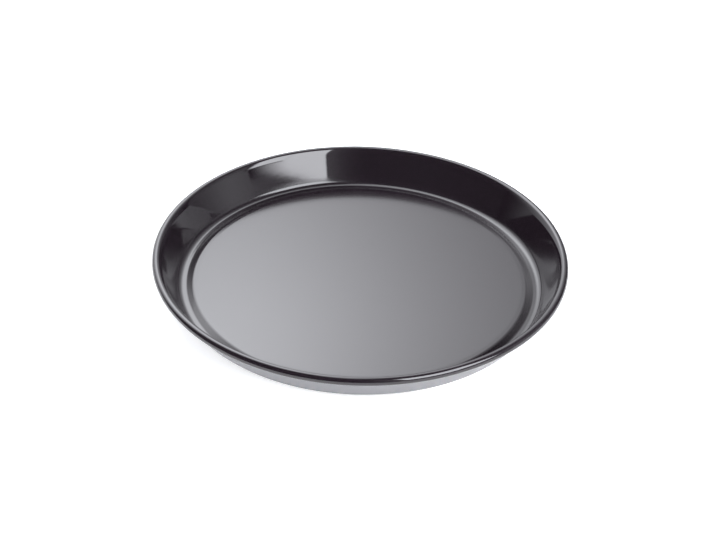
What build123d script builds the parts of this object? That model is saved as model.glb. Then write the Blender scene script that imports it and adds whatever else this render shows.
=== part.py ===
"""Round enamelled pie dish: one drawn and curled steel pressing between its two fired coats.

The dish is a body of revolution about Z. It stands on the flat ring round its raised floor,
with the origin at the middle of that ring's underside. The food face is drawn first, and every
other face of the sheet is the same line at a greater depth below it, so the coats lie on the
steel face to face all the way from the middle of the floor to the cut edge inside the rim bead.
Lengths are in millimetres and angles in degrees.
"""

from build123d import *

import math
import os

# Sizes over the finished enamel
RIM_DIAMETER = 350.0
OVERALL_HEIGHT = 32.0
BEAD_DIAMETER = 7.0
WALL_FLARE_ANGLE = 25.6

# Sheet and coats
STEEL_THICKNESS = 0.8
INSIDE_COAT_THICKNESS = 0.3
OUTSIDE_COAT_THICKNESS = 0.3

# Raised floor: its edge falls off gently, then steeply, down to a narrow ring that the dish
# stands on. The radii are those of the food face
FLOOR_EDGE_WIDTH = 4.0
FLOOR_EDGE_SLOPE_ANGLE = 2.0
FLOOR_EDGE_RADIUS = 30.0
STEP_WIDTH = 5.5
STEP_SLOPE_ANGLE = 24.0
STEP_CREST_RADIUS = 6.5
STEP_FOOT_RADIUS = 4.0
STANDING_RING_WIDTH = 1.8
WALL_FOOT_RADIUS = 6.5

# Rolled rim: a wider shoulder leads the wall into the bead, whose cut edge stays off the wall
SHOULDER_RADIUS = 18.0
SHOULDER_TURN_ANGLE = 13.5
CURL_EDGE_GAP = 0.4

# Derived sizes
QUARTER_TURN = 90.0
HALF_TURN = 180.0
FULL_TURN = 360.0
SHEET_DEPTH = INSIDE_COAT_THICKNESS + STEEL_THICKNESS + OUTSIDE_COAT_THICKNESS
STEEL_BACK_DEPTH = INSIDE_COAT_THICKNESS + STEEL_THICKNESS
BEAD_RADIUS = BEAD_DIAMETER / 2
BEAD_CENTRE = Vector(RIM_DIAMETER / 2 - BEAD_RADIUS, OVERALL_HEIGHT - BEAD_RADIUS)

# Angles that each stretch's food face looks along, seen in section
FLOOR_NORMAL_ANGLE = QUARTER_TURN
FLOOR_EDGE_NORMAL_ANGLE = QUARTER_TURN - FLOOR_EDGE_SLOPE_ANGLE
STEP_NORMAL_ANGLE = QUARTER_TURN - STEP_SLOPE_ANGLE
WALL_NORMAL_ANGLE = HALF_TURN - WALL_FLARE_ANGLE
BEAD_NORMAL_ANGLE = WALL_NORMAL_ANGLE - SHOULDER_TURN_ANGLE


def direction(angle: float) -> Vector:
    """Unit vector at an angle from the radius, in the section plane."""
    return Vector(math.cos(math.radians(angle)), math.sin(math.radians(angle)))


def shoulder_centre() -> Vector:
    """Centre of the shoulder, which touches the bead's circle from inside the dish."""
    return BEAD_CENTRE - direction(BEAD_NORMAL_ANGLE) * (SHOULDER_RADIUS - BEAD_RADIUS)


def wall_top(depth: float) -> Vector:
    """Where the straight wall meets the shoulder, at a depth below the food face."""
    return shoulder_centre() + direction(WALL_NORMAL_ANGLE) * (SHOULDER_RADIUS - depth)


def offset_corner(corner: Vector, before: float, after: float, depth: float) -> Vector:
    """Sharp corner of two stretches with these normals, at a depth below the food face."""
    half_bend = math.radians(after - before) / 2
    return corner - direction((before + after) / 2) * (depth / math.cos(half_bend))


def floor_corners(depth: float) -> list:
    """Sharp corners from the floor's edge to the wall, at a depth below the food face."""
    top = wall_top(0)
    run = (top.Y - SHEET_DEPTH) * math.tan(math.radians(WALL_FLARE_ANGLE))
    wall_foot = Vector(top.X - run, SHEET_DEPTH)
    wall_bend = math.radians(WALL_NORMAL_ANGLE - FLOOR_NORMAL_ANGLE)
    step_bend = math.radians(STEP_SLOPE_ANGLE)
    wall_fillet = WALL_FOOT_RADIUS * math.tan(wall_bend / 2)
    step_fillet = STEP_FOOT_RADIUS * math.tan(step_bend / 2)
    step_foot = wall_foot - Vector(wall_fillet + STANDING_RING_WIDTH + step_fillet, 0)
    step_crest = step_foot + Vector(-STEP_WIDTH, STEP_WIDTH * math.tan(step_bend))
    edge_rise = FLOOR_EDGE_WIDTH * math.tan(math.radians(FLOOR_EDGE_SLOPE_ANGLE))
    floor_edge = step_crest + Vector(-FLOOR_EDGE_WIDTH, edge_rise)
    return [
        offset_corner(floor_edge, FLOOR_NORMAL_ANGLE, FLOOR_EDGE_NORMAL_ANGLE, depth),
        offset_corner(step_crest, FLOOR_EDGE_NORMAL_ANGLE, STEP_NORMAL_ANGLE, depth),
        offset_corner(step_foot, STEP_NORMAL_ANGLE, FLOOR_NORMAL_ANGLE, depth),
        offset_corner(wall_foot, FLOOR_NORMAL_ANGLE, WALL_NORMAL_ANGLE, depth),
    ]


def middle(depth: float) -> Vector:
    """Middle of the floor, at a depth below the food face."""
    return Vector(0, floor_corners(depth)[0].Y)


def curl_sweep() -> float:
    """Turn of the bead from the shoulder's end until its cut edge nears the back of the wall."""
    lead = (SHOULDER_RADIUS - BEAD_RADIUS) * math.cos(math.radians(SHOULDER_TURN_ANGLE))
    wall_back = SHOULDER_RADIUS - SHEET_DEPTH - lead
    reach = (wall_back - CURL_EDGE_GAP) / BEAD_RADIUS
    return FULL_TURN - SHOULDER_TURN_ANGLE - math.degrees(math.acos(reach))


def coat_turn() -> float:
    """Turn of the bead that the inside coat runs past the steel, over its cut edge."""
    return math.degrees(INSIDE_COAT_THICKNESS / BEAD_RADIUS)


def curl_end(depth: float, sweep: float) -> Vector:
    """Point of the bead at the end of a sweep."""
    return BEAD_CENTRE + direction(BEAD_NORMAL_ANGLE - sweep) * (BEAD_RADIUS - depth)


def section_line(depth: float, sweep: float) -> Curve:
    """One face of the sheet in section, from the axis to the end of the curl."""
    corners = [middle(depth), *floor_corners(depth), wall_top(depth)]
    radii = [
        FLOOR_EDGE_RADIUS - depth,
        STEP_CREST_RADIUS - depth,
        STEP_FOOT_RADIUS + depth,
        WALL_FOOT_RADIUS + depth,
    ]
    shoulder = CenterArc(
        shoulder_centre(), SHOULDER_RADIUS - depth, WALL_NORMAL_ANGLE, -SHOULDER_TURN_ANGLE
    )
    bead = CenterArc(BEAD_CENTRE, BEAD_RADIUS - depth, BEAD_NORMAL_ANGLE, -sweep)
    return Curve() + [FilletPolyline(*corners, radius=radii), shoulder, bead]


def turned(outline: Curve) -> Part:
    """Solid swept by a closed section about the dish's axis."""
    return revolve(Plane.XZ * make_face(outline), Axis.Z)


def layer(top_depth: float, back_depth: float, sweep: float) -> Part:
    """Even layer between two depths of the sheet, with a square end in the curl."""
    axis_end = Line(middle(top_depth), middle(back_depth))
    cut_end = Line(curl_end(top_depth, sweep), curl_end(back_depth, sweep))
    outline = section_line(top_depth, sweep) + section_line(back_depth, sweep) + axis_end
    return turned(outline + cut_end)


def steel_pressing() -> Part:
    """Sheet-steel dish drawn in one piece, with its stepped floor and hollow rolled rim."""
    return layer(INSIDE_COAT_THICKNESS, STEEL_BACK_DEPTH, curl_sweep() - coat_turn())


def outside_coat() -> Part:
    """Fired coat under the floor, up the outside of the wall and inside the hollow bead."""
    return layer(STEEL_BACK_DEPTH, SHEET_DEPTH, curl_sweep() - coat_turn())


def inside_coat() -> Part:
    """Fired coat over the food face and the bead, which also wraps the sheet's cut edge."""
    steel_sweep = curl_sweep() - coat_turn()
    axis_end = Line(middle(0), middle(INSIDE_COAT_THICKNESS))
    lip_end = Line(curl_end(0, curl_sweep()), curl_end(SHEET_DEPTH, curl_sweep()))
    lip_back = CenterArc(
        BEAD_CENTRE,
        BEAD_RADIUS - SHEET_DEPTH,
        BEAD_NORMAL_ANGLE - curl_sweep(),
        coat_turn(),
    )
    cut_edge = Line(
        curl_end(SHEET_DEPTH, steel_sweep), curl_end(INSIDE_COAT_THICKNESS, steel_sweep)
    )
    outline = section_line(0, curl_sweep()) + section_line(INSIDE_COAT_THICKNESS, steel_sweep)
    return turned(outline + axis_end + lip_end + lip_back + cut_edge)


PIECES = {
    "steel_pressing": steel_pressing,
    "inside_coat": inside_coat,
    "outside_coat": outside_coat,
}


def main() -> None:
    """Make every piece and write it under its own name."""
    os.makedirs("parts", exist_ok=True)
    for name, make in PIECES.items():
        piece = make()
        piece.label = name
        export_step(piece, f"parts/{name}.step")
        box = piece.bounding_box()
        print(f"{name}: {piece.volume:.0f} mm3, {box.size.X:.2f} x {box.size.Z:.2f} mm")


main()
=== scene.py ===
"""Looks of a round enamelled steel pie dish, in a pale photographic studio.

The sheet is a body of revolution, so one radial section serves every layer of it: the food face
is drawn once, with the way it looks at each point, and a layer is what lies between two depths
below that face. The fired coats are what the eye meets, so they are modelled here as closed
shells with true normals all along the section, which keeps the reflections in the glaze
unbroken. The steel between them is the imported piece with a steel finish.
Lengths are in metres and angles in radians unless a name says otherwise.
"""

import logging
import math
from dataclasses import dataclass
from enum import Enum

import bpy
import numpy as np
from mathutils import Matrix, Vector


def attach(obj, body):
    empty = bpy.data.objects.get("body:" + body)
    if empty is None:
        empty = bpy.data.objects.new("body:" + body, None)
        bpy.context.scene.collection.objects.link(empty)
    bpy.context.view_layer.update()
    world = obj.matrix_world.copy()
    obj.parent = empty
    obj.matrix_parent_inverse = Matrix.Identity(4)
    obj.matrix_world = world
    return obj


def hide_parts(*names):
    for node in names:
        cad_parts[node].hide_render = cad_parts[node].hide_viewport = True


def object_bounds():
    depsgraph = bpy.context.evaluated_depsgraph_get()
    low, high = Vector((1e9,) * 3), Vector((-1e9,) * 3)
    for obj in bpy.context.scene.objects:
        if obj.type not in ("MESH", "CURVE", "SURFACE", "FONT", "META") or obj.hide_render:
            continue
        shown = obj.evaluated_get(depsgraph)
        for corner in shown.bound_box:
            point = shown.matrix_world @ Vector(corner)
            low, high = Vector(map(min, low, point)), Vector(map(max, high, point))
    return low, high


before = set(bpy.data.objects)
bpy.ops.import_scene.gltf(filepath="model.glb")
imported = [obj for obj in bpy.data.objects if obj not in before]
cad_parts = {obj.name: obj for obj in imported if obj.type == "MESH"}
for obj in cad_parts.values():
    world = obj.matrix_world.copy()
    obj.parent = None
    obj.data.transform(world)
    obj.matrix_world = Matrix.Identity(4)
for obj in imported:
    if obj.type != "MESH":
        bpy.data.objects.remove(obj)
CAD_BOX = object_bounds()

BODY = "root"
MM = 0.001
QUARTER_TURN = math.pi / 2
FULL_TURN = 2 * math.pi

# Sockets by number where the mix node holds several of the same name
MIX_COLOUR_A = 6
MIX_COLOUR_B = 7
MIX_RESULT = 2

# Shares of its length at which a straight stretch of the section gets a point. A long one has
# some between its ends, so that no facet is a sliver, and a short one only its ends
LONG_SHARES = (0, 0.25, 0.5, 0.75, 1)
END_SHARES = (0, 1)

# Even a short bend gets this many facets along the section
LEAST_BEND_FACETS = 4

# Width of a bell so wide that a card glows evenly
EVEN = math.inf

log = logging.getLogger("pie_dish")


class Layer(Enum):
    """The layers of the dish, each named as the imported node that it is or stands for."""

    STEEL = "steel_pressing"
    INSIDE_COAT = "inside_coat"
    OUTSIDE_COAT = "outside_coat"


class Slot(Enum):
    """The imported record's material slots of the two coats."""

    INSIDE_ENAMEL = "inside_enamel"
    OUTSIDE_ENAMEL = "outside_enamel"


def linear(hex_colour: str) -> tuple[float, float, float, float]:
    """Turn an sRGB hex colour into the linear colour that a shader takes.

    Args:
        hex_colour: Six hex digits after a hash.

    Returns:
        Linear red, green and blue, and an alpha of one.
    """
    # The sRGB curve: a short straight start, then a power
    straight_end, straight_slope, offset, power = 0.04045, 12.92, 0.055, 2.4
    shares = [int(hex_colour[i : i + 2], 16) / 255 for i in (1, 3, 5)]
    parts = [
        s / straight_slope if s <= straight_end else ((s + offset) / (1 + offset)) ** power
        for s in shares
    ]
    return (*parts, 1.0)


def add_node(
    tree: bpy.types.NodeTree, kind: str, settings: dict, links: dict | None = None
) -> bpy.types.Node:
    """Add a node to a tree with its settings and links.

    Args:
        tree: Node tree that takes the node.
        kind: Blender's name of the node's type.
        settings: Values by name. A name of one of the node's own settings is set there, and
            any other name or number is an input socket.
        links: Sockets that feed the node's inputs, by the input's name or number.

    Returns:
        The new node.
    """
    node = tree.nodes.new(kind)
    for name, value in settings.items():
        if isinstance(name, str) and hasattr(node, name):
            setattr(node, name, value)
        else:
            node.inputs[name].default_value = value
    for name, socket in (links or {}).items():
        tree.links.new(socket, node.inputs[name])
    return node


def bare_tree(owner: bpy.types.Material | bpy.types.World) -> bpy.types.NodeTree:
    """Turn on the nodes of a material or a world, and return them cleared."""
    owner.use_nodes = True
    owner.node_tree.nodes.clear()
    return owner.node_tree


def add_object(name: str, data: bpy.types.ID) -> bpy.types.Object:
    """Put an object that shows a mesh or a camera into the scene, and return it."""
    made = bpy.data.objects.new(name, data)
    bpy.context.scene.collection.objects.link(made)
    return made


@dataclass(frozen=True)
class VitreousEnamel:
    """Glass fused onto steel: fired at red heat, so it levels almost to a mirror.

    What stays on it is orange peel, a long soft ripple of a few millimetres that breaks the
    edge of a reflection, and fine specks of the milled glass. The level roughness is added on
    the level floor, and fades out from the lower to the upper of the level heights.
    """

    name: str
    colour: str
    speck_colour: str
    ior: float
    roughness: float
    roughness_spread: float
    level_roughness: float
    peel_width: float
    peel_depth: float
    speck_width: float
    fired_patch_width: float = 30 * MM
    level_heights: tuple[float, float] = (4.5 * MM, 9.0 * MM)

    def material(self) -> bpy.types.Material:
        """Make the node material of the fired coat.

        Returns:
            The material.
        """
        made = bpy.data.materials.new(self.name)
        made.use_nodes = True
        tree = made.node_tree
        shader = tree.nodes["Principled BSDF"]
        shader.inputs["IOR"].default_value = self.ior
        place = add_node(tree, "ShaderNodeTexCoord", {}).outputs["Object"]
        # Milled glass leaves a grain of slightly paler specks, which reads as depth up close.
        # Real ones are about a tenth of a millimetre wide, and are drawn as coarse as they
        # need to be to show
        specks = add_node(
            tree,
            "ShaderNodeTexNoise",
            {"Scale": 1 / self.speck_width, "Detail": 3.0, "Roughness": 0.6},
            {"Vector": place},
        )
        shade = add_node(
            tree,
            "ShaderNodeMix",
            {
                "data_type": "RGBA",
                MIX_COLOUR_A: linear(self.colour),
                MIX_COLOUR_B: linear(self.speck_colour),
            },
            {"Factor": specks.outputs["Fac"]},
        )
        tree.links.new(shade.outputs[MIX_RESULT], shader.inputs["Base Color"])
        # The firing leaves some areas a shade less glossy than others
        fired = add_node(
            tree,
            "ShaderNodeTexNoise",
            {"Scale": 1 / self.fired_patch_width, "Detail": 2.0},
            {"Vector": place},
        )
        gloss = add_node(
            tree,
            "ShaderNodeMapRange",
            {
                "To Min": self.roughness - self.roughness_spread,
                "To Max": self.roughness + self.roughness_spread,
            },
            {"Value": fired.outputs["Fac"]},
        )
        # On the level floor the wet coat lies thicker and keeps a faint haze, which softens
        # what the floor mirrors; the steep wall drains and stays sharp
        height = add_node(tree, "ShaderNodeSeparateXYZ", {}, {"Vector": place})
        low, high = self.level_heights
        haze = add_node(
            tree,
            "ShaderNodeMapRange",
            {"From Min": low, "From Max": high, "To Min": self.level_roughness, "To Max": 0.0},
            {"Value": height.outputs["Z"]},
        )
        rough = add_node(
            tree,
            "ShaderNodeMath",
            {"operation": "ADD"},
            {0: gloss.outputs["Result"], 1: haze.outputs["Result"]},
        )
        tree.links.new(rough.outputs["Value"], shader.inputs["Roughness"])
        # Orange peel: the melt levels itself, but not quite, and the edges of what it mirrors
        # waver a little
        peel = add_node(
            tree,
            "ShaderNodeTexNoise",
            {"Scale": 1 / self.peel_width, "Detail": 1.0},
            {"Vector": place},
        )
        bump = add_node(
            tree,
            "ShaderNodeBump",
            {"Strength": 1.0, "Distance": self.peel_depth},
            {"Height": peel.outputs["Fac"]},
        )
        tree.links.new(bump.outputs["Normal"], shader.inputs["Normal"])
        return made


@dataclass(frozen=True)
class PickledSteel:
    """Cold-rolled sheet, drawn and pickled: a dull grey metal with the fine lines of the rolls."""

    name: str
    colour: str
    stain_colour: str
    roughness: float
    roll_line_width: float
    roll_line_stretch: float
    roll_line_depth: float
    roll_line_strength: float

    def material(self) -> bpy.types.Material:
        """Make the node material of the bare steel.

        Returns:
            The material.
        """
        made = bpy.data.materials.new(self.name)
        made.use_nodes = True
        tree = made.node_tree
        shader = tree.nodes["Principled BSDF"]
        shader.inputs["Metallic"].default_value = 1.0
        place = add_node(tree, "ShaderNodeTexCoord", {}).outputs["Object"]
        # Roll marks run one way across the sheet and dull it along their length. Real ones
        # are finer, and are drawn as coarse as they need to be to show
        along = add_node(
            tree,
            "ShaderNodeMapping",
            {"Scale": (1 / self.roll_line_stretch, 1.0, 1.0)},
            {"Vector": place},
        )
        lines = add_node(
            tree,
            "ShaderNodeTexNoise",
            {"Scale": 1 / self.roll_line_width, "Detail": 2.0},
            {"Vector": along.outputs["Vector"]},
        )
        shade = add_node(
            tree,
            "ShaderNodeMix",
            {
                "data_type": "RGBA",
                MIX_COLOUR_A: linear(self.colour),
                MIX_COLOUR_B: linear(self.stain_colour),
            },
            {"Factor": lines.outputs["Fac"]},
        )
        tree.links.new(shade.outputs[MIX_RESULT], shader.inputs["Base Color"])
        shader.inputs["Roughness"].default_value = self.roughness
        bump = add_node(
            tree,
            "ShaderNodeBump",
            {"Strength": self.roll_line_strength, "Distance": self.roll_line_depth},
            {"Height": lines.outputs["Fac"]},
        )
        tree.links.new(bump.outputs["Normal"], shader.inputs["Normal"])
        return made


def heading(angle: float) -> np.ndarray:
    """Unit vector at an angle from the radius, in the section plane."""
    return np.array((math.cos(angle), math.sin(angle)))


@dataclass(frozen=True)
class Run:
    """A stretch of a section: its points, and the way that the surface looks at each."""

    points: np.ndarray
    normals: np.ndarray

    def at_depth(self, depth: float) -> "Run":
        """Return the same stretch, a depth below the surface."""
        return Run(self.points - self.normals * depth, self.normals)

    def turned_over(self) -> "Run":
        """Return the stretch run backwards, looking the other way."""
        return Run(self.points[::-1], -self.normals[::-1])

    def then(self, other: "Run") -> "Run":
        """Return this stretch with another joined on at its end."""
        return Run(
            np.vstack((self.points, other.points[1:])),
            np.vstack((self.normals, other.normals[1:])),
        )


def straight(
    start: np.ndarray, end: np.ndarray, normal: np.ndarray, shares: tuple[float, ...]
) -> Run:
    """Return a straight stretch with a point at each share of its length."""
    points = np.array([start + (end - start) * share for share in shares])
    return Run(points, np.tile(normal, (len(points), 1)))


def bend(start: np.ndarray, radius: float, before: float, after: float, step: float) -> Run:
    """Draw an arc that carries on smoothly from a point.

    Args:
        start: First point of the arc.
        radius: Radius of the arc.
        before: Angle that the surface looks along where the arc starts.
        after: Angle that it looks along where the arc ends.
        step: Largest turn from one point to the next.

    Returns:
        The arc. It is a crest where the angle falls and a hollow where it rises.
    """
    side = 1 if after < before else -1
    centre = start - side * radius * heading(before)
    facets = max(LEAST_BEND_FACETS, math.ceil(abs(after - before) / step))
    normals = np.array([heading(angle) for angle in np.linspace(before, after, facets + 1)])
    return Run(centre + side * radius * normals, normals)


@dataclass(frozen=True)
class SheetSection:
    """Radial section of the drawn sheet, from the middle of the floor to the rolled rim.

    Its radii are those of the food face. A facet turns by no more than the bend step, or the
    bead step on the bead.
    """

    rim_radius: float
    height: float
    sheet_depth: float
    coat_depth: float
    bead_radius: float = 3.5 * MM
    wall_flare: float = math.radians(25.6)
    floor_edge_width: float = 4.0 * MM
    floor_edge_slope: float = math.radians(2.0)
    floor_edge_radius: float = 30.0 * MM
    step_width: float = 5.5 * MM
    step_slope: float = math.radians(24.0)
    step_crest_radius: float = 6.5 * MM
    step_foot_radius: float = 4.0 * MM
    standing_ring_width: float = 1.8 * MM
    wall_foot_radius: float = 6.5 * MM
    shoulder_radius: float = 18.0 * MM
    shoulder_turn: float = math.radians(13.5)
    curl_edge_gap: float = 0.4 * MM
    bend_step: float = math.radians(2.0)
    bead_step: float = math.radians(5.0)

    @property
    def wall_normal(self) -> float:
        """Angle that the wall's food face looks along."""
        return math.pi - self.wall_flare

    @property
    def bead_normal(self) -> float:
        """Angle that the food face looks along where the bead begins."""
        return self.wall_normal - self.shoulder_turn

    @property
    def bead_centre(self) -> np.ndarray:
        """Centre of the rolled bead."""
        return np.array((self.rim_radius - self.bead_radius, self.height - self.bead_radius))

    @property
    def coat_sweep(self) -> float:
        """Find how far the bead turns up to the end of the coat that wraps the cut edge.

        Returns:
            The turn at which the coat's end is a gap short of the back of the wall.
        """
        lead = (self.shoulder_radius - self.bead_radius) * math.cos(self.shoulder_turn)
        wall_back = self.shoulder_radius - self.sheet_depth - lead
        reach = (wall_back - self.curl_edge_gap) / self.bead_radius
        return FULL_TURN - self.shoulder_turn - math.acos(reach)

    @property
    def steel_sweep(self) -> float:
        """Turn of the bead up to the steel's cut edge."""
        return self.coat_sweep - self.coat_depth / self.bead_radius

    def wall_top(self) -> np.ndarray:
        """Find where the straight wall meets the shoulder on the food face.

        Returns:
            The point.
        """
        reach = self.shoulder_radius - self.bead_radius
        centre = self.bead_centre - heading(self.bead_normal) * reach
        return centre + heading(self.wall_normal) * self.shoulder_radius

    def corners(self) -> list[tuple[np.ndarray, float, float]]:
        """Find the sharp corners of the food face, from the floor's edge to the wall's foot.

        Returns:
            Each corner with its radius and the angle that the face looks along after it.
        """
        top = self.wall_top()
        run = (top[1] - self.sheet_depth) * math.tan(self.wall_flare)
        wall_foot = np.array((top[0] - run, self.sheet_depth))
        wall_fillet = self.wall_foot_radius * math.tan((self.wall_normal - QUARTER_TURN) / 2)
        step_fillet = self.step_foot_radius * math.tan(self.step_slope / 2)
        back = wall_fillet + self.standing_ring_width + step_fillet
        step_foot = wall_foot - np.array((back, 0))
        step_rise = self.step_width * math.tan(self.step_slope)
        step_crest = step_foot + np.array((-self.step_width, step_rise))
        edge_rise = self.floor_edge_width * math.tan(self.floor_edge_slope)
        floor_edge = step_crest + np.array((-self.floor_edge_width, edge_rise))
        return [
            (floor_edge, self.floor_edge_radius, QUARTER_TURN - self.floor_edge_slope),
            (step_crest, self.step_crest_radius, QUARTER_TURN - self.step_slope),
            (step_foot, self.step_foot_radius, QUARTER_TURN),
            (wall_foot, self.wall_foot_radius, self.wall_normal),
        ]

    def food_face(self, sweep: float) -> Run:
        """Draw the food face outwards from the axis.

        Args:
            sweep: Turn of the bead at which it ends.

        Returns:
            The food face, which runs on over the outside of the bead.
        """
        normal = QUARTER_TURN
        corners = self.corners()
        middle = np.array((0.0, corners[0][0][1]))
        line = Run(middle[None, :], heading(normal)[None, :])
        for corner, radius, after in corners:
            tangent = radius * math.tan(abs(after - normal) / 2)
            start = corner - heading(normal - QUARTER_TURN) * tangent
            line = line.then(straight(line.points[-1], start, heading(normal), LONG_SHARES))
            line = line.then(bend(start, radius, normal, after, self.bend_step))
            normal = after
        top = self.wall_top()
        line = line.then(straight(line.points[-1], top, heading(normal), LONG_SHARES))
        shoulder = bend(top, self.shoulder_radius, normal, self.bead_normal, self.bend_step)
        line = line.then(shoulder)
        return line.then(self.bead(self.bead_normal, self.bead_normal - sweep))

    def bead(self, before: float, after: float) -> Run:
        """Return the bead's face between two angles."""
        start = self.bead_centre + heading(before) * self.bead_radius
        return bend(start, self.bead_radius, before, after, self.bead_step)


def revolved(name: str, runs: list[Run], segments: int) -> bpy.types.Mesh:
    """Turn a closed outline about the dish's axis into a mesh with true normals.

    Args:
        name: Name of the mesh.
        runs: Stretches of the outline in order. Each starts where the last one ends, and the
            first and the last end on the axis.
        segments: Number of facets round the axis.

    Returns:
        A closed mesh whose corner normals are those of the turned section.
    """
    turns = np.linspace(0, FULL_TURN, segments, endpoint=False)
    round_x, round_y = np.cos(turns), np.sin(turns)
    points = np.vstack([run.points[:-1] for run in runs] + [runs[-1].points[-1:]])
    ring = points[1:-1]
    verts = np.stack(
        (
            np.outer(ring[:, 0], round_x),
            np.outer(ring[:, 0], round_y),
            np.repeat(ring[:, 1:], segments, axis=1),
        ),
        axis=-1,
    ).reshape(-1, 3)
    # Each end of the outline is one point on the axis, so the facets that meet there are
    # triangles
    first, last = len(verts), len(verts) + 1
    verts = np.vstack((verts, (0, 0, points[0, 1]), (0, 0, points[-1, 1])))
    starts = np.vstack([run.normals[:-1] for run in runs])
    ends = np.vstack([run.normals[1:] for run in runs])
    here = np.arange(segments)
    beyond = np.roll(here, -1)
    faces, normals = [], []
    for i, (start, end) in enumerate(zip(starts, ends)):
        inner, outer = (i - 1) * segments, i * segments
        if i == 0:
            rows = [np.full(segments, first), outer + here, outer + beyond]
            tilts = [(start, here), (end, here), (end, beyond)]
        elif i == len(starts) - 1:
            rows = [inner + here, np.full(segments, last), inner + beyond]
            tilts = [(start, here), (end, here), (start, beyond)]
        else:
            rows = [inner + here, outer + here, outer + beyond, inner + beyond]
            tilts = [(start, here), (end, here), (end, beyond), (start, beyond)]
        faces += np.stack(rows, axis=1).tolist()
        corners = [
            np.stack((t[0] * round_x[at], t[0] * round_y[at], np.full(segments, t[1])), axis=1)
            for t, at in tilts
        ]
        normals.append(np.stack(corners, axis=1).reshape(-1, 3))
    mesh = bpy.data.meshes.new(name)
    mesh.from_pydata(verts.tolist(), [], faces)
    mesh.polygons.foreach_set("use_smooth", [True] * len(mesh.polygons))
    mesh.normals_split_custom_set(np.vstack(normals).tolist())
    mesh.update()
    return mesh


@dataclass
class Dish:
    """The dish: a steel pressing between the black coat of its inside and the grey one outside."""

    steel_thickness: float = 0.8 * MM
    coat_thickness: float = 0.3 * MM
    segments: int = 384

    black_enamel: VitreousEnamel = VitreousEnamel(
        # Vitreous enamel, black cover coat, sprayed and fired: looks like poured dark glass,
        # a shade warmer than neutral where no light falls into the reflection
        name="black_vitreous_enamel_fired",
        colour="#191318",
        speck_colour="#201a1f",
        ior=1.6,
        roughness=0.05,
        roughness_spread=0.01,
        level_roughness=0.1,
        peel_width=4 * MM,
        peel_depth=0.003 * MM,
        speck_width=0.8 * MM,
    )
    grey_enamel: VitreousEnamel = VitreousEnamel(
        # Vitreous enamel, grey coat on the outside, dipped and fired: paler and a little duller
        # than the inside, so the wall stands out below the black rim
        name="grey_vitreous_enamel_fired",
        colour="#7d7d80",
        speck_colour="#858588",
        ior=1.6,
        roughness=0.12,
        roughness_spread=0.02,
        level_roughness=0.0,
        peel_width=4 * MM,
        peel_depth=0.006 * MM,
        speck_width=0.8 * MM,
    )
    bare_steel: PickledSteel = PickledSteel(
        # Cold-rolled low-carbon steel, drawn and pickled for enamelling: grey and satin
        name="pickled_drawn_steel",
        colour="#9b9a98",
        stain_colour="#8d8c8a",
        roughness=0.45,
        roll_line_width=0.4 * MM,
        roll_line_stretch=20.0,
        roll_line_depth=0.01 * MM,
        roll_line_strength=0.2,
    )

    def section(self) -> SheetSection:
        """Return the section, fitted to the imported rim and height."""
        low, high = CAD_BOX
        return SheetSection(
            rim_radius=(high[0] - low[0]) / 2,
            height=high[2] - low[2],
            sheet_depth=self.steel_thickness + 2 * self.coat_thickness,
            coat_depth=self.coat_thickness,
        )

    def build(self) -> None:
        """Make and dress every piece of the dish."""
        self.dress_steel()
        self.place(Layer.INSIDE_COAT, self.inside_runs(), self.black_enamel, Slot.INSIDE_ENAMEL)
        self.place(
            Layer.OUTSIDE_COAT, self.outside_runs(), self.grey_enamel, Slot.OUTSIDE_ENAMEL
        )

    def dress_steel(self) -> None:
        """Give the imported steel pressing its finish."""
        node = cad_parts[Layer.STEEL.value]
        node.data.materials.clear()
        node.data.materials.append(self.bare_steel.material())
        log.info("%s: finish %s", Layer.STEEL.value, self.bare_steel.name)

    def inside_runs(self) -> list[Run]:
        """Draw the outline of the inside coat, which also wraps the steel's cut edge.

        Returns:
            The food face, the coat's end, its lip inside the bead, the cut edge and the face
            that lies on the steel.
        """
        section = self.section()
        end = section.bead_normal - section.coat_sweep
        edge = section.bead_normal - section.steel_sweep
        food = section.food_face(section.coat_sweep)
        lip = section.bead(edge, end).at_depth(section.sheet_depth)
        under = section.food_face(section.steel_sweep).at_depth(section.coat_depth)
        lip_end = straight(
            food.points[-1], lip.points[-1], heading(end - QUARTER_TURN), END_SHARES
        )
        cut_edge = straight(
            lip.points[0], under.points[-1], heading(edge + QUARTER_TURN), END_SHARES
        )
        return [food, lip_end, lip.turned_over(), cut_edge, under.turned_over()]

    def outside_runs(self) -> list[Run]:
        """Draw the outline of the outside coat, which ends inside the hollow bead.

        Returns:
            The face that lies on the steel, the coat's end and the face that is seen.
        """
        section = self.section()
        edge = section.bead_normal - section.steel_sweep
        food = section.food_face(section.steel_sweep)
        upper = food.at_depth(section.sheet_depth - section.coat_depth)
        lower = food.at_depth(section.sheet_depth)
        coat_end = straight(
            upper.points[-1], lower.points[-1], heading(edge - QUARTER_TURN), END_SHARES
        )
        return [upper, coat_end, lower.turned_over()]

    def place(self, layer: Layer, runs: list[Run], finish: VitreousEnamel, slot: Slot) -> None:
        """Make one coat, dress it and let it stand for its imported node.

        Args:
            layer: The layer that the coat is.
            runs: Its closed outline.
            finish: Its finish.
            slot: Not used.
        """
        name = f"{layer.value}_glaze"
        mesh = revolved(name, runs, self.segments)
        mesh.materials.append(finish.material())
        piece = add_object(name, mesh)
        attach(piece, BODY)
        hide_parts(layer.value)
        log.info("%s: %d faces, finish %s", piece.name, len(mesh.polygons), finish.name)


def between(ends: tuple[float | np.ndarray, float], share: np.ndarray) -> np.ndarray:
    """Return the values that lie at a share of the way from one end to the other."""
    return ends[0] + (ends[1] - ends[0]) * share


def arch(share: np.ndarray) -> np.ndarray:
    """Return a parabola that is 0 at both ends of a length and 1 in its middle."""
    return 1 - (2 * share - 1) ** 2


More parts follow.
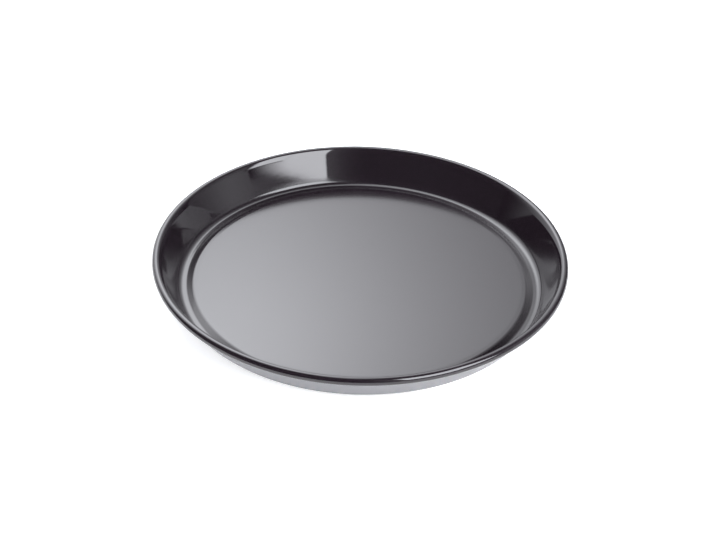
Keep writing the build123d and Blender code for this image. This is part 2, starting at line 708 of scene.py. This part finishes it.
def fall(away: np.ndarray, widths: tuple[float, float]) -> np.ndarray:
    """Return a soft bell over a distance, half as high at each side's own width."""
    width = np.where(away < 0, widths[0], widths[1])
    return 1 / (1 + (away / width) ** 2)


def fade(inward: np.ndarray, width: float) -> np.ndarray:
    """Work out a smoothstep from an edge inwards.

    Args:
        inward: Distances inwards from the edge.
        width: Distance over which it rises, or 0 for a sharp edge.

    Returns:
        Values from 0 at the edge to 1 at the width inside it.
    """
    if not width:
        return np.ones_like(inward)
    part = np.clip(inward / width, 0, 1)
    return part * part * (3 - 2 * part)


@dataclass(frozen=True)
class Card:
    """A lit or dark card of the studio, curved round the dish at one distance.

    All its angles are in degrees, as the dish sees them. Bearings run from the far side of the
    dish towards the right, seen from above, and rises start at the floor. The low edge has a
    rise at its left end and one at its right end, and its middle may arch up between them. The
    card glows most at its hot spot, a bearing and a rise. Its sides fall off to half at the
    given distances left and right of it, and its ends at those below and above, where the end
    share of the glow stays all the way. The fades are how far in the glow rises from each edge.
    A flag lights nothing and only shows in the glaze, and a fill only lights.
    """

    name: str
    bearings: tuple[float, float]
    low_edge: tuple[float, float]
    high_edge: float
    glow: float
    hot_spot: tuple[float, float] = (0, 0)
    side_falls: tuple[float, float] = (EVEN, EVEN)
    end_falls: tuple[float, float] = (EVEN, EVEN)
    end_share: float = 0
    side_fades: tuple[float, float] = (0, 0)
    end_fades: tuple[float, float] = (0, 0)
    low_arch: float = 0
    distance: float = 1.6
    lights: bool = True
    mirrored: bool = True
    colour: str = "#f8faff"
    cells: int = 90

    def place(self) -> None:
        """Make the card and stage it, out of the camera's sight."""
        shares = np.linspace(0, 1, self.cells + 1)
        across, up = np.meshgrid(shares, shares, indexing="ij")
        bearing = between(self.bearings, across)
        low = between(self.low_edge, across) + self.low_arch * arch(across)
        rise = between((low, self.high_edge), up)
        turn, tilt = np.radians(bearing), np.radians(rise)
        places = self.distance * np.stack(
            (np.sin(turn) * np.cos(tilt), np.cos(turn) * np.cos(tilt), np.sin(tilt)), axis=-1
        )
        row = self.cells + 1
        corner = np.arange(self.cells * row).reshape(self.cells, row)[:, :-1].ravel()
        faces = np.stack((corner, corner + row, corner + row + 1, corner + 1), axis=1)
        mesh = bpy.data.meshes.new(self.name)
        mesh.from_pydata(places.reshape(-1, 3).tolist(), [], faces.tolist())
        glow = mesh.attributes.new("glow", "FLOAT", "POINT")
        glow.data.foreach_set("value", self.brightness(bearing, rise, low).ravel())
        mesh.materials.append(self.material())
        card = add_object(self.name, mesh)
        card.visible_camera = False
        card.visible_diffuse = self.lights
        card.visible_glossy = self.mirrored
        log.info("card %s", self.name)

    def brightness(self, bearing: np.ndarray, rise: np.ndarray, low: np.ndarray) -> np.ndarray:
        """Work out how bright the card is at its points.

        Args:
            bearing: Bearing of each point.
            rise: Rise of each point.
            low: Rise of the low edge below each point.

        Returns:
            The strength of the glow at each point.
        """
        left, right = self.bearings
        left_fade, right_fade = self.side_fades
        low_fade, high_fade = self.end_fades
        across = fall(bearing - self.hot_spot[0], self.side_falls)
        upright = between((self.end_share, 1), fall(rise - self.hot_spot[1], self.end_falls))
        sides = fade(bearing - left, left_fade) * fade(right - bearing, right_fade)
        ends = fade(rise - low, low_fade) * fade(self.high_edge - rise, high_fade)
        return self.glow * across * upright * sides * ends

    def material(self) -> bpy.types.Material:
        """Make the card's light.

        Returns:
            The material, which glows as the mesh's glow attribute says.
        """
        made = bpy.data.materials.new(self.name)
        tree = bare_tree(made)
        glow = add_node(tree, "ShaderNodeAttribute", {"attribute_name": "glow"})
        light = add_node(
            tree,
            "ShaderNodeEmission",
            {"Color": linear(self.colour)},
            {"Strength": glow.outputs["Fac"]},
        )
        add_node(tree, "ShaderNodeOutputMaterial", {}, {"Surface": light.outputs["Emission"]})
        return made


def seen_or_mirrored(tree: bpy.types.NodeTree) -> bpy.types.NodeSocket:
    """Tell what is looked at from what only lights.

    Args:
        tree: Node tree that takes the nodes.

    Returns:
        A socket that is 1 for what the camera, a mirror or clear glass looks at, and else 0.
    """
    path = add_node(tree, "ShaderNodeLightPath", {})
    share = path.outputs["Is Camera Ray"]
    for ray in ("Is Glossy Ray", "Is Transmission Ray"):
        either = add_node(
            tree, "ShaderNodeMath", {"operation": "MAXIMUM"}, {0: share, 1: path.outputs[ray]}
        )
        share = either.outputs["Value"]
    return share


@dataclass
class Studio:
    """White floor and room, softboxes behind and at the front right, a fill and dark flags.

    The floor's lift is how much of white it shows by itself, near the dish and far from it, and
    the reach is where the one gives way to the other.
    """

    floor_half_width: float = 6.0
    floor_colour: str = "#f4f4f4"
    floor_lift_near: float = 0.45
    floor_lift_far: float = 1.0
    floor_lift_reach: tuple[float, float] = (0.7, 1.4)
    world_level: float = 0.3

    cards: tuple[Card, ...] = (
        # Big softbox over the far side: the long sheen of the floor and the back wall's bands
        Card(
            name="back_softbox",
            bearings=(-88, 62),
            low_edge=(0, 0),
            high_edge=86,
            glow=6.7,
            hot_spot=(-14, 42),
            side_falls=(48, 21),
            end_falls=(12, 25),
            end_share=0.2,
            side_fades=(32, 10),
            end_fades=(4, 4),
        ),
        # Softbox at the front right, hung a little askew: the bright patch on the left wall,
        # whose lower edge is the softbox's own
        Card(
            name="key_softbox",
            bearings=(108, 157.5),
            low_edge=(14.8, 19.9),
            high_edge=60,
            low_arch=1.45,
            glow=9.0,
            hot_spot=(140, 22),
            side_fades=(28, 1),
            end_fades=(0.6, 6),
        ),
        # Its upper left end, which the shoulder under the rim mirrors as a bright hook
        Card(
            name="key_wing",
            bearings=(104, 130),
            low_edge=(21, 21),
            high_edge=60,
            glow=9.0,
            hot_spot=(122, 40),
            side_fades=(6, 0),
            end_fades=(7, 6),
            distance=1.55,
        ),
        # Soft fill from the left, which evens out the outside of the wall and the shadow
        Card(
            name="left_fill",
            bearings=(-175, -90),
            low_edge=(8, 8),
            high_edge=62,
            glow=3.0,
            hot_spot=(-130, 30),
            side_fades=(25, 25),
            end_fades=(6, 20),
            mirrored=False,
        ),
        # Dark flags: the black glaze mirrors them where the photo's walls are deep and dull
        Card(
            name="left_flag",
            bearings=(-180, -86),
            low_edge=(0, 0),
            high_edge=90,
            glow=0.05,
            distance=1.7,
            lights=False,
        ),
        Card(
            name="front_flag",
            bearings=(156, 180),
            low_edge=(0, 0),
            high_edge=90,
            glow=0.6,
            hot_spot=(158, 20),
            side_falls=(EVEN, 8),
            distance=1.7,
            lights=False,
        ),
        Card(
            name="right_flag",
            bearings=(60, 158),
            low_edge=(0, 0),
            high_edge=90,
            glow=1.0,
            hot_spot=(95, 15),
            side_falls=(20, 25),
            end_falls=(30, 25),
            distance=1.7,
            lights=False,
        ),
        Card(
            name="top_flag",
            bearings=(-180, 180),
            low_edge=(84, 84),
            high_edge=90,
            glow=2.0,
            distance=1.8,
            lights=False,
        ),
    )

    def build(self) -> None:
        """Make the floor, the world and every card."""
        self.lay_floor()
        self.light_world()
        for card in self.cards:
            card.place()

    def lay_floor(self) -> None:
        """Lay a matt floor that looks white and keeps the dish's shadow."""
        reach = self.floor_half_width
        mesh = bpy.data.meshes.new("floor")
        mesh.from_pydata(
            [(-reach, -reach, 0), (reach, -reach, 0), (reach, reach, 0), (-reach, reach, 0)],
            [],
            [(0, 1, 2, 3)],
        )
        made = bpy.data.materials.new("white_paper_sweep")
        tree = bare_tree(made)
        paper = add_node(tree, "ShaderNodeBsdfDiffuse", {"Color": linear(self.floor_colour)})
        # Near the dish the paper is lifted only so far that the dish's shadow still shows.
        # Out behind the cards, which shade it, the paper is lifted all the way to white
        place = add_node(tree, "ShaderNodeTexCoord", {}).outputs["Object"]
        away = add_node(tree, "ShaderNodeVectorMath", {"operation": "LENGTH"}, {0: place})
        near, far = self.floor_lift_reach
        level = add_node(
            tree,
            "ShaderNodeMapRange",
            {
                "From Min": near,
                "From Max": far,
                "To Min": self.floor_lift_near,
                "To Max": self.floor_lift_far,
            },
            {"Value": away.outputs["Value"]},
        )
        lift = add_node(
            tree,
            "ShaderNodeMath",
            {"operation": "MULTIPLY"},
            {0: seen_or_mirrored(tree), 1: level.outputs["Result"]},
        )
        white = add_node(tree, "ShaderNodeEmission", {}, {"Strength": lift.outputs["Value"]})
        both = add_node(
            tree,
            "ShaderNodeAddShader",
            {},
            {0: paper.outputs["BSDF"], 1: white.outputs["Emission"]},
        )
        add_node(tree, "ShaderNodeOutputMaterial", {}, {"Surface": both.outputs["Shader"]})
        mesh.materials.append(made)
        add_object("floor", mesh)

    def light_world(self) -> None:
        """Fill the room with an even low light, and show it white wherever it is looked at."""
        world = bpy.data.worlds.new("studio")
        bpy.context.scene.world = world
        tree = bare_tree(world)
        fill = add_node(tree, "ShaderNodeBackground", {"Strength": self.world_level})
        white = add_node(
            tree, "ShaderNodeBackground", {"Color": linear("#ffffff"), "Strength": 1.0}
        )
        seen = add_node(
            tree,
            "ShaderNodeMixShader",
            {},
            {
                0: seen_or_mirrored(tree),
                1: fill.outputs["Background"],
                2: white.outputs["Background"],
            },
        )
        add_node(tree, "ShaderNodeOutputWorld", {}, {"Surface": seen.outputs["Shader"]})


@dataclass(frozen=True)
class Camera:
    """The photograph's camera: in front of the dish and above it, a little rolled."""

    distance: float = 1225.0 * MM
    elevation: float = math.radians(35.342)
    roll: float = math.radians(1.649)
    aim: tuple[float, float, float] = (-0.08 * MM, 0.0, 10.173 * MM)
    focal_pixels: float = 1429.8
    image_width_pixels: float = 720.0
    sensor_width: float = 36.0
    clip_start: float = 10 * MM

    def place(self) -> None:
        """Set up the camera and make it the scene's own."""
        data = bpy.data.cameras.new("camera")
        data.sensor_width = self.sensor_width
        data.lens = self.focal_pixels * self.sensor_width / self.image_width_pixels
        data.clip_start = self.clip_start
        camera = add_object("camera", data)
        away = Vector((0, -math.cos(self.elevation), math.sin(self.elevation)))
        position = away * self.distance
        look = (Vector(self.aim) - position).to_track_quat("-Z", "Y").to_matrix().to_4x4()
        turn = Matrix.Rotation(self.roll, 4, "Z")
        camera.matrix_world = Matrix.Translation(position) @ look @ turn
        bpy.context.scene.camera = camera


def main() -> None:
    """Build the dish and its studio, and set the camera."""
    logging.basicConfig(level=logging.INFO, format="%(name)s: %(message)s")
    bpy.context.scene.view_settings.view_transform = "Standard"
    Dish().build()
    Studio().build()
    Camera().place()


if __name__ == "__main__":
    main()
